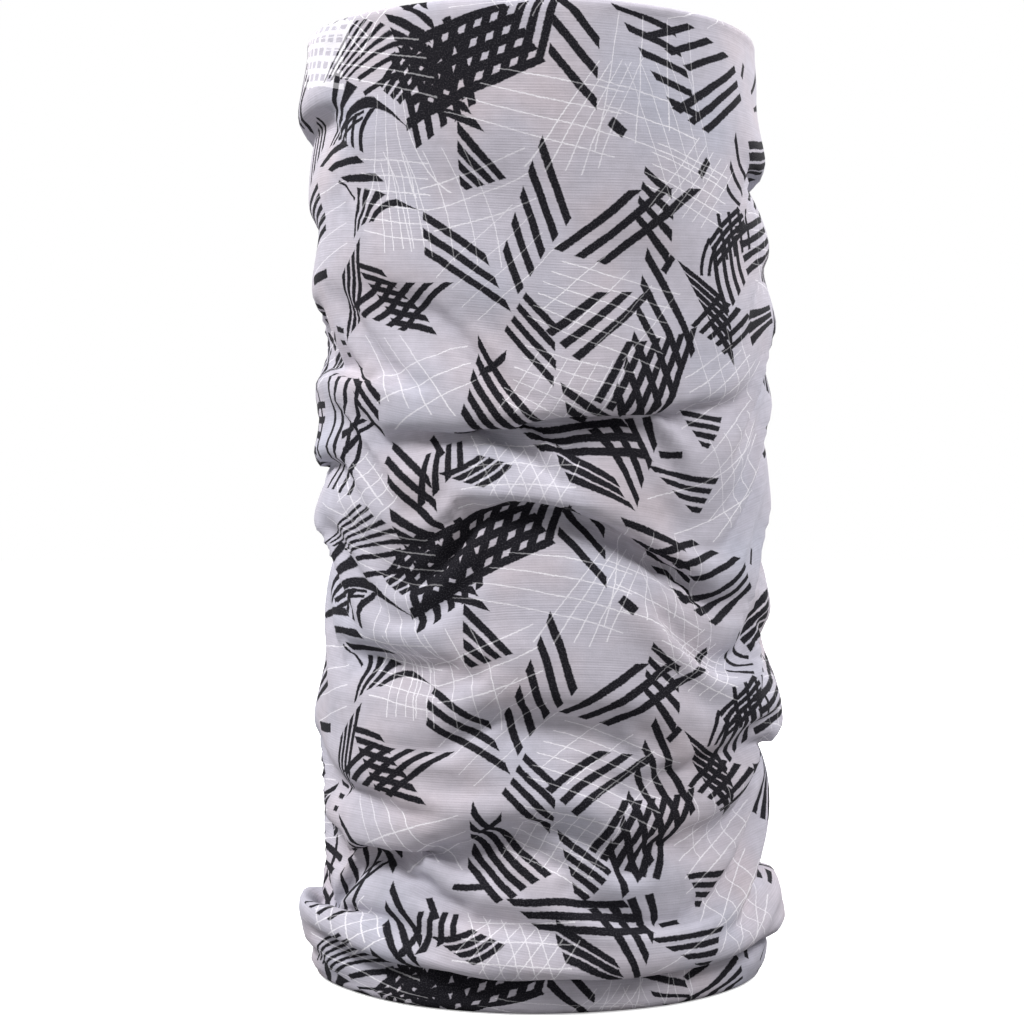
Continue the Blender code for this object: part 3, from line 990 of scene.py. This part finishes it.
def label_profile(strip):
    """Height and distance behind the axis, in mm, down the middle of the label."""
    top_and_edge = np.array([5.0, 0.2])
    sewn = on_strip(strip, np.array([0.0, 0.0]), top_and_edge)
    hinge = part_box("care_label")
    hang = (hinge[0].y + hinge[1].y) / 2 / MM
    on_cloth = sewn[:, 1] - CLOTH / 2 - LABEL / 2 - 0.1
    top, edge, foot = sewn[0, 2], sewn[1, 2], hinge[0].z / MM
    rows, leaves_over = 44, 9
    bowed, bow_from, bow_over = 1.2, 10, 30
    heights = np.linspace(top, foot, rows)
    share = smooth((edge - heights) / leaves_over)
    behind = np.interp(-heights, (-top, -edge), on_cloth) * (1 - share) + hang * share
    return heights, behind - bowed * smooth((edge - bow_from - heights) / bow_over)


def label_material():
    """Plain white woven satin: fine raised threads across and a soft shine."""
    made, nodes, shader = new_material("white_woven_satin")
    place = nodes.add("ShaderNodeTexCoord").outputs["Object"]
    weft = nodes.vector("MULTIPLY", place, (900, 900, 5200))
    weft = nodes.noise(weft, 1.0, 2.0).outputs[0]
    shade = nodes.noise(place, 90, 2.0).outputs[0]
    colour = nodes.mix(nodes.ramp(shade, 0.35, 0.7), (0.78, 0.77, 0.75), (0.85, 0.85, 0.84))
    nodes.feed(shader.inputs["Base Color"], colour)
    nodes.feed(shader.inputs["Roughness"], nodes.ramp(weft, 0.3, 0.7, 0.34, 0.5))
    shader.inputs["Sheen Weight"].default_value = 0.15
    nodes.bump(shader, weft, 0.3, 0.0001)
    return made


def care_label(strip, thread):
    """The blank label on the back of the top strip, and the zigzag that holds its upper edge."""
    heights, behind = label_profile(strip)
    low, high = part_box("care_label")
    columns, curled, curls_from, curls_over = 21, 0.5, 6, 20
    across = np.linspace(low.x, high.x, columns) / MM
    curl = curled * (across / across[-1]) ** 2
    points, faces = [], []
    for row, (height, back) in enumerate(zip(heights, behind)):
        loose = smooth((heights[0] - curls_from - height) / curls_over)
        for column, x in enumerate(across):
            points.append((x * MM, (back - curl[column] * loose) * MM, height * MM))
            if row and column:
                here = row * columns + column
                faces.append((here, here - 1, here - 1 - columns, here - columns))
    label = new_piece("label", np.array(points), faces)
    label.data.materials.append(label_material())
    thicken(label, LABEL)
    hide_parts("care_label")
    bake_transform(label)

    legs, sewn_share, shallow, deep = 16, 0.94, 0.8, 3.4
    path = []
    for stitch in range(legs + 1):
        x = across[0] * sewn_share + stitch / legs * (across[-1] - across[0]) * sewn_share
        place = heights[0] - (shallow if stitch % 2 else deep)
        back = np.interp(-place, -heights, behind) - LABEL / 2 - THREAD
        path += [(x - 0.1, back + 0.3, place), (x + 0.1, back, place)]
    tack = new_thread("label_stitches", np.array(path), closed=False)
    tack.data.materials.append(thread)
    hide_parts("label_tack_thread")
    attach(tack, "top")


# ------------------------------------------------------------------
# Stage
# ------------------------------------------------------------------
def area_light(name, place, target, size, power):
    data = bpy.data.lights.new(name, "AREA")
    data.shape = "DISK"
    data.size = size
    data.energy = power
    made = bpy.data.objects.new(name, data)
    made.location = place
    made.rotation_euler = (Vector(target) - Vector(place)).to_track_quat("-Z", "Y").to_euler()
    bpy.context.scene.collection.objects.link(made)


def pale_floor():
    """A wide floor just under the rim. The camera sees it brighten with distance into the white studio;
    to other rays it is a darker one, so that little light comes back up from it."""
    half, drop = 6, 0.0002
    corners = np.array([(-half, -half, 0), (half, -half, 0), (half, half, 0), (-half, half, 0)])
    floor = new_piece("floor", corners, [(0, 1, 2, 3)])
    floor.location.z = -drop
    made, nodes, shader = new_material("pale_floor")
    shader.inputs["Roughness"].default_value = 0.95
    shader.inputs["Specular IOR Level"].default_value = 0.1
    shader.inputs["Emission Color"].default_value = (1, 1, 1, 1)
    seen = nodes.add("ShaderNodeLightPath").outputs["Is Camera Ray"]
    reach = nodes.vector("LENGTH", nodes.add("ShaderNodeNewGeometry").outputs["Position"])
    away = nodes.ramp(reach.node.outputs["Value"], 0.2, 0.7, 0.5, 1.0)
    nodes.feed(shader.inputs["Emission Strength"], nodes.number("MULTIPLY", seen, away))
    nodes.feed(shader.inputs["Base Color"], nodes.mix(seen, (0.3, 0.3, 0.3), (0.9, 0.9, 0.9)))
    floor.data.materials.append(made)


def studio_world():
    """White all round: full strength to the camera, 0.3 of it as light."""
    world = bpy.data.worlds.new("studio")
    world.use_nodes = True
    nodes = Nodes(world.node_tree)
    background = world.node_tree.nodes["Background"]
    background.inputs[0].default_value = (1, 1, 1, 1)
    seen = nodes.add("ShaderNodeLightPath").outputs["Is Camera Ray"]
    nodes.feed(background.inputs[1], nodes.number("MULTIPLY_ADD", seen, 0.7, 0.3))
    bpy.context.scene.world = world
    bpy.context.scene.view_settings.view_transform = "Standard"


def stage():
    """Pale floor, soft studio light all round and the camera level with the middle of the tube."""
    pale_floor()
    studio_world()
    middle = (0, 0, HEIGHT * MM / 2)
    area_light("key", (-0.72, -0.42, 1.05), middle, 0.4, 16)
    area_light("fill", (0.8, -0.4, 0.95), middle, 0.5, 11)
    area_light("back_left", (-0.75, 0.75, 0.8), middle, 0.5, 6)
    area_light("back_right", (0.75, 0.8, 0.8), middle, 0.5, 8)

    data = bpy.data.cameras.new("camera")
    data.lens = 74.5
    data.sensor_width = 36
    camera = bpy.data.objects.new("camera", data)
    camera.location = (-0.008, -0.738, 0.157)
    camera.rotation_euler = (math.pi / 2, 0, 0)
    bpy.context.scene.collection.objects.link(camera)
    bpy.context.scene.camera = camera


def main():
    grid = cloth_grid()
    tube = cloth_tube("gaiter_tube", grid)
    tube.data.materials.append(cloth_material("printed_jersey", True))
    tube.data.materials.append(cloth_material("jersey_reverse", False))
    solid = thicken(tube, CLOTH)
    solid.material_offset = 1
    solid.use_quality_normals = True
    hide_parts("bottom_band", "lower_tier", "middle_tier", "top_tier")
    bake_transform(tube)
    thread = thread_material()
    bottom_strip = grid[:STRIP_ROWS[0]]
    top_strip = grid[::-1][:STRIP_ROWS[1]]
    overlock("bottom", bottom_strip, thread)
    overlock("top", top_strip, thread)
    care_label(top_strip, thread)
    stage()


main()
